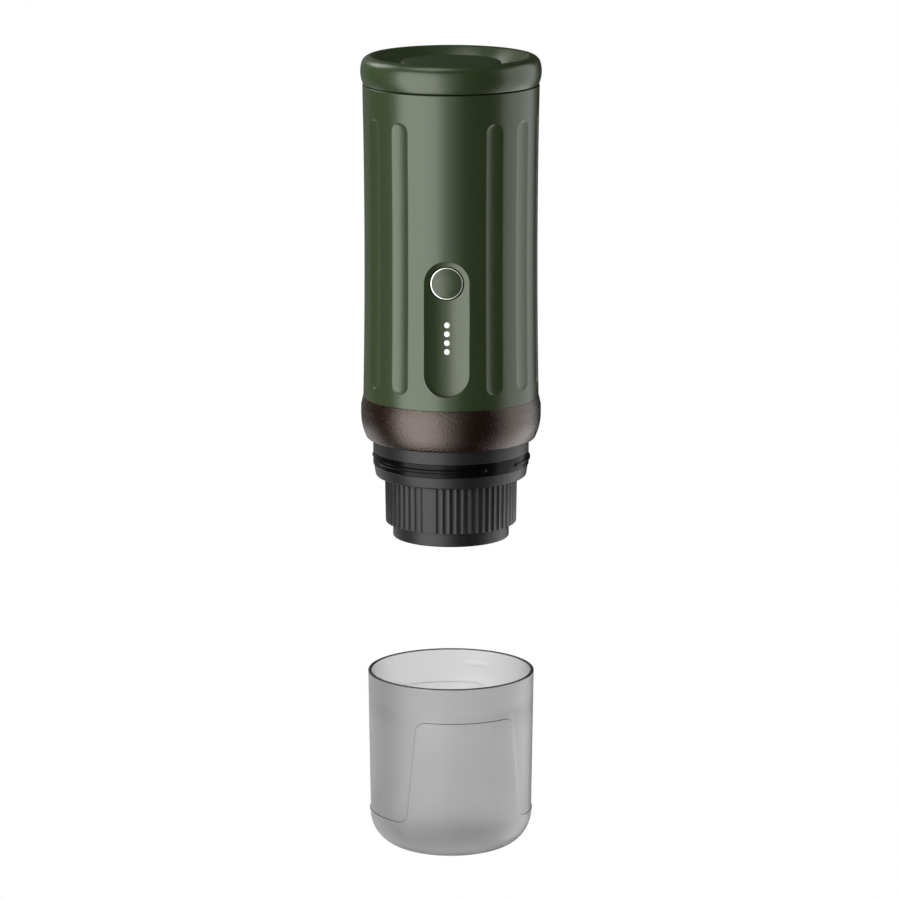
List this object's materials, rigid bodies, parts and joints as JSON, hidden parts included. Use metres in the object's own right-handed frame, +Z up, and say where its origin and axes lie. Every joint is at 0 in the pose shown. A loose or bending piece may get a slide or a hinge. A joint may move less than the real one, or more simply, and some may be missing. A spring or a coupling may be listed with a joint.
{
  "type": "portable espresso maker",
  "caption": "Battery-powered travel espresso maker: a grooved flask-shaped body with button, screw lid, water tank, pump and screw-off brew head, held over its see-through cup.",
  "frame": {"origin": "centre of the cup's foot, on the table", "axes": "+Z up along the common axis of cup and machine; -Y is the front, with the button and the status lights; +X to the right seen from the front"},
  "size_m": [0.0732, 0.0732, 0.328],
  "materials": {
    "smoky_plastic": "frosted, see-through",
    "grey_plastic": "matt",
    "black_plastic": "glossy",
    "brown_metal": "anodised, fine grain",
    "green_coat": "painted, satin metallic",
    "green_plastic": "satin metallic",
    "chrome_trim": "polished",
    "steel": "brushed",
    "silicone": "matt",
    "black_rubber": "matt",
    "board_green": "satin",
    "cell_wrap": "shrink-wrapped",
    "copper_winding": "enamelled",
    "cast_aluminium": "as cast",
    "white_plastic": "translucent",
    "mineral_board": "matt",
    "red_wire": "satin"
  },
  "bodies": {
    "cup": {"cup": "smoky_plastic"},
    "machine": {"collar": "grey_plastic", "lock_ring": "black_plastic", "band": "brown_metal", "sleeve": "green_coat", "control_panel": "green_plastic", "tact_switch": "steel", "control_board": "board_green", "status_lights": "white_plastic", "light_chips": "white_plastic", "port_bezel": "grey_plastic", "charging_socket": "steel", "port_board": "board_green", "tank_housing": "grey_plastic", "water_tank": "steel", "heater": "cast_aluminium", "thermostat": "steel", "heat_shield": "mineral_board", "heater_carrier": "grey_plastic", "main_board": "board_green", "board_parts": "black_plastic", "cell_tray_top": "grey_plastic", "cell_tray_bottom": "grey_plastic", "cell_1": "cell_wrap", "cell_2": "cell_wrap", "cell_3": "cell_wrap", "cell_links": "steel", "motor_can": "steel", "pump_body": "grey_plastic", "pump_mount": "black_rubber", "inlet_hose": "silicone", "outlet_hose": "silicone", "power_leads": "red_wire", "chassis": "grey_plastic", "group_head": "grey_plastic", "group_gasket": "silicone", "shower_screen": "steel", "shower_screw": "steel", "body_screws": "steel"},
    "button": {"button_cap": "green_plastic", "button_ring": "chrome_trim", "switch_plunger": "black_plastic"},
    "port_flap": {"port_cover": "black_rubber"},
    "lid_carrier": {"lid_seal": "silicone"},
    "lid": {"lid_shell": "green_coat", "lid_disc": "green_coat", "lid_liner": "grey_plastic"},
    "basket": {"filter_basket": "steel", "basket_screen": "steel"},
    "brew_head": {"brew_cap": "grey_plastic", "grip_ring": "grey_plastic", "spout_plate": "grey_plastic"},
    "rotor": {"motor_rotor": "copper_winding"}
  },
  "joints": [
    {"name": "machine_seat", "type": "slide", "parent": "cup", "child": "machine", "axis": [0, 0, 1], "range_m": [-0.0978, 0]},
    {"name": "lid_rise", "type": "slide", "parent": "machine", "child": "lid_carrier", "axis": [0, 0, 1], "range_m": [0, 0.0211]},
    {"name": "lid_turn", "type": "hinge", "parent": "lid_carrier", "child": "lid", "pos_m": [0, 0, 0.3168], "axis": [0, 0, 1], "range_deg": [0, 1260]},
    {"name": "head_drop", "type": "slide", "parent": "machine", "child": "basket", "axis": [0, 0, -1], "range_m": [0, 0.0211]},
    {"name": "head_turn", "type": "hinge", "parent": "basket", "child": "brew_head", "pos_m": [0, 0, 0.1559], "axis": [0, 0, -1], "range_deg": [0, 1260]},
    {"name": "button_press", "type": "slide", "parent": "machine", "child": "button", "axis": [0, 1, 0], "range_m": [0, 0.0005], "stiffness_N_per_m": 3000},
    {"name": "cover_open", "type": "hinge", "parent": "machine", "child": "port_flap", "pos_m": [0, 0.03538, 0.21665], "axis": [1, 0, 0], "range_deg": [0, 110]},
    {"name": "rotor_spin", "type": "hinge", "parent": "machine", "child": "rotor", "pos_m": [0, 0.0145, 0.234], "axis": [0, 0, 1], "continuous": true}
  ],
  "couplings": [
    {"joint": "lid_rise", "follows": "lid_turn", "m_per_rad": 0.00095493},
    {"joint": "head_drop", "follows": "head_turn", "m_per_rad": 0.00095493}
  ]
}
